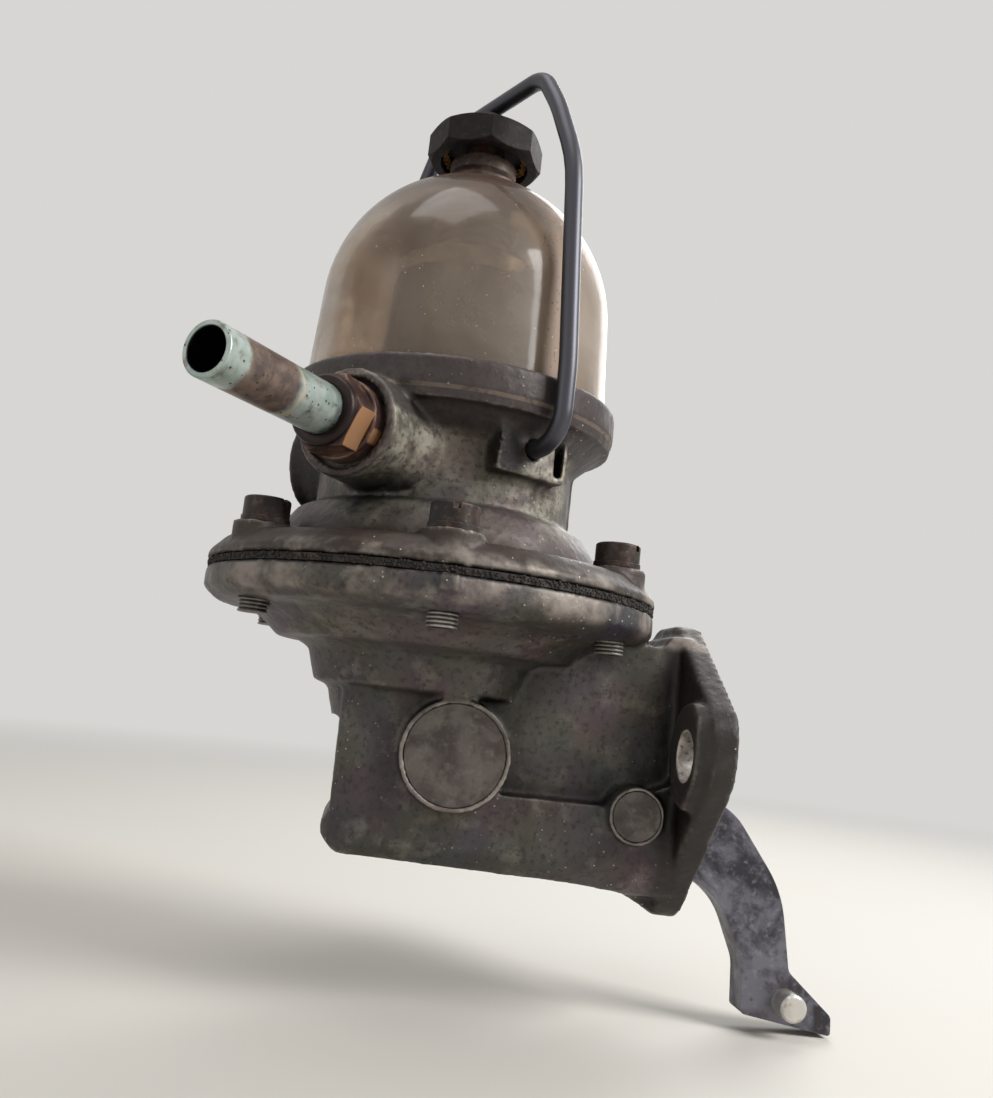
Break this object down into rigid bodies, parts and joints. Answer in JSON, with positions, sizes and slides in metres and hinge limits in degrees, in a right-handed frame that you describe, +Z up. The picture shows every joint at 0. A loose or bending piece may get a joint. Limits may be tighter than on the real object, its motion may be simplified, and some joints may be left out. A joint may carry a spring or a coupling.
{
  "type": "fuel pump",
  "caption": "Lever-driven diaphragm fuel pump with a domed glass bowl under a wire bail, side ports, a two-bolt mounting flange and a rocker arm.",
  "frame": {"origin": "midway between the two mounting bolt holes, on the mounting face", "axes": "+X out of the mounting face towards the engine, +Z up along the pump's axis"},
  "size_m": [0.1331, 0.1095, 0.1857],
  "materials": {
    "lower_casting": "oily sand casting",
    "upper_casting": "stained casting with pale oxide",
    "black_rubber": "aged",
    "screw_steel": "rusty",
    "bail_steel": "dark wire",
    "clamp_steel": "dark with worn facets",
    "lever_steel": "speckled forging",
    "bright_steel": "turned",
    "plug_steel": "dull disc",
    "spring_steel": "drawn wire",
    "brass": "tarnished",
    "valve_disc": "hard fibre",
    "bowl_glass": "stained",
    "gauze": "fine gauze",
    "zinc_pipe": "zinc plated, oxidised"
  },
  "bodies": {
    "pump_body": {"lower_body": "lower_casting", "upper_body": "upper_casting", "diaphragm": "black_rubber", "diaphragm_spring": "spring_steel", "oil_seal": "black_rubber", "seal_retainer": "bright_steel", "pivot_pin": "bright_steel", "pin_plugs": "plug_steel", "side_plug": "plug_steel", "flange_screws": "screw_steel", "lock_washers": "screw_steel", "inlet_valve_seat": "brass", "inlet_valve_cage": "brass", "inlet_valve_spring": "spring_steel", "outlet_valve_seat": "brass", "outlet_valve_cage": "brass", "outlet_valve_spring": "spring_steel", "valve_retainer": "bright_steel", "retainer_screws": "screw_steel", "bowl_gasket": "black_rubber", "glass_bowl": "bowl_glass", "filter_screen": "gauze", "filter_cap": "bright_steel", "filter_spring": "spring_steel", "filter_post": "bright_steel", "union_nut": "brass", "ferrule": "brass", "fuel_pipe": "zinc_pipe", "arm_return_spring": "spring_steel"},
    "rocker_arm": {"rocker_arm": "lever_steel", "arm_tip_pin": "bright_steel"},
    "link": {"link_lever": "lever_steel", "link_pin": "bright_steel"},
    "pull_rod": {"pull_rod": "bright_steel", "upper_plate": "bright_steel", "lower_plate": "bright_steel", "rod_nut": "screw_steel"},
    "inlet_disc": {"inlet_valve_disc": "valve_disc"},
    "outlet_disc": {"outlet_valve_disc": "valve_disc"},
    "bail": {"bail_wire": "bail_steel"},
    "clamp_nut": {"clamp_nut": "clamp_steel"},
    "pressure_cup": {"pressure_cup": "clamp_steel"}
  },
  "joints": [
    {"name": "arm_rock", "type": "hinge", "parent": "pump_body", "child": "rocker_arm", "pos_m": [-0.013, 0, -0.012], "axis": [0, -1, 0], "range_deg": [0, 7], "stiffness_Nm_per_rad": 3, "springref_deg": -4.58, "deforming": ["arm_return_spring"]},
    {"name": "link_rock", "type": "hinge", "parent": "pump_body", "child": "link", "pos_m": [-0.013, 0, -0.012], "axis": [0, -1, 0], "range_deg": [0, 7.5]},
    {"name": "diaphragm_stroke", "type": "slide", "parent": "pump_body", "child": "pull_rod", "axis": [0, 0, -1], "range_m": [0, 0.0052], "deforming": ["diaphragm", "diaphragm_spring"]},
    {"name": "inlet_lift", "type": "slide", "parent": "pump_body", "child": "inlet_disc", "axis": [0, 0, -1], "range_m": [0, 0.0015], "stiffness_N_per_m": 60, "springref_m": -0.003, "deforming": ["inlet_valve_spring"]},
    {"name": "outlet_lift", "type": "slide", "parent": "pump_body", "child": "outlet_disc", "axis": [0, 0, 1], "range_m": [0, 0.0015], "stiffness_N_per_m": 60, "springref_m": -0.003, "deforming": ["outlet_valve_spring"]},
    {"name": "bail_swing", "type": "hinge", "parent": "pump_body", "child": "bail", "pos_m": [-0.054, 0, 0.0524], "axis": [-0.5, 0.866, 0], "range_deg": [0, 95]},
    {"name": "nut_turn", "type": "hinge", "parent": "pump_body", "child": "clamp_nut", "pos_m": [-0.054, 0, 0.121], "axis": [0, 0, -1], "range_deg": [0, 725]},
    {"name": "cup_lift", "type": "slide", "parent": "pump_body", "child": "pressure_cup", "axis": [0, 0, 1], "range_m": [0, 0.0025]}
  ],
  "couplings": [
    {"joint": "link_rock", "follows": "arm_rock", "ratio": 1},
    {"joint": "diaphragm_stroke", "follows": "arm_rock", "m_per_rad": 0.041},
    {"joint": "nut_turn", "follows": "cup_lift", "rad_per_m": 5026.5}
  ]
}
